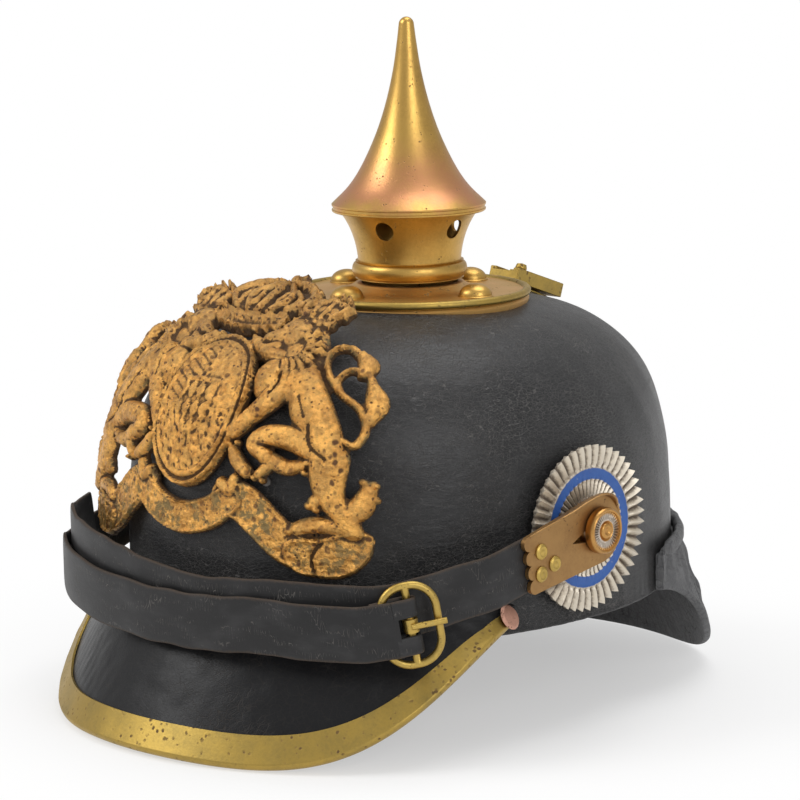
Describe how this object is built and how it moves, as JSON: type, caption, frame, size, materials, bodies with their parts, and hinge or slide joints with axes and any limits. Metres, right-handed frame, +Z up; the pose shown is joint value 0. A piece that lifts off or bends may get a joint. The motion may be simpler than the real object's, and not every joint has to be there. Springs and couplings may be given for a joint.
{
  "type": "spiked leather helmet",
  "caption": "Black leather parade helmet with brass spike, stamped front plate, side rosettes, two visors, rear vent slide and a buckled chin strap stowed over the front visor.",
  "frame": {"origin": "on the ground below the middle of the object's box, with the helmet standing on its front and rear visors", "axes": "+Z up, front visor towards -Y, the wearer's left towards +X; the spike leans about one degree forward as the helmet stands"},
  "size_m": [0.212, 0.2769, 0.2562],
  "materials": {
    "shell_leather": "aged lacquered black leather, fine craquelure",
    "visor_leather": "smooth black leather, scuffed",
    "rear_leather": "greyed black leather, crinkled",
    "strap_leather": "dry dark leather with cracks",
    "liner_leather": "brown sheepskin liner leather",
    "trim_brass": "olive-yellow brass with spots",
    "spike_brass": "golden brass, coppery at the rim",
    "plate_copper": "pinkish copper with olive rim",
    "badge_brass": "orange-gold brass with dark corrosion specks",
    "lug_brass": "brown-gold brass",
    "buckle_brass": "yellow brass wire",
    "rivet_copper": "copper-pink rivet",
    "cockade_metal": "tarnished silver-white with a blue ring",
    "iron": "dull inner fastener"
  },
  "bodies": {
    "helmet": {"shell": "shell_leather", "front_visor": "visor_leather", "rear_visor": "rear_leather", "front_visor_trim": "trim_brass", "trim_rivets": "rivet_copper", "spike_cone": "spike_brass", "spike_neck": "spike_brass", "neck_bead": "spike_brass", "base_plate": "plate_copper", "dome_studs": "spike_brass", "stud_washers": "iron", "rear_spine": "trim_brass", "spine_screw": "trim_brass", "vent_housing": "trim_brass", "front_plate": "badge_brass", "plate_posts": "iron", "plate_nuts": "iron", "left_cockade": "cockade_metal", "right_cockade": "cockade_metal", "left_post": "spike_brass", "right_post": "spike_brass", "post_nuts": "iron", "sweatband": "liner_leather", "liner_tongues": "liner_leather"},
    "chinstrap": {"left_strap": "strap_leather", "right_strap": "strap_leather", "left_lug": "lug_brass", "right_lug": "lug_brass", "left_lug_rivets": "buckle_brass", "right_lug_rivets": "buckle_brass", "left_buckle": "buckle_brass"},
    "prong": {"buckle_prong": "buckle_brass"},
    "vent_cover": {"vent_slide": "trim_brass", "vent_knob": "trim_brass"}
  },
  "joints": [
    {"name": "chinstrap_swing", "type": "hinge", "parent": "helmet", "child": "chinstrap", "pos_m": [0, -0.00086, 0.07508], "axis": [-1, 0, 0], "range_deg": [0, 65]},
    {"name": "prong_hinge", "type": "hinge", "parent": "chinstrap", "child": "prong", "pos_m": [0.089, -0.08546, 0.05217], "axis": [0.0894, 0.1534, -0.9841], "range_deg": [0, 90]},
    {"name": "vent_slide", "type": "slide", "parent": "helmet", "child": "vent_cover", "axis": [0, 0.9522, -0.3054], "range_m": [0, 0.008]}
  ]
}
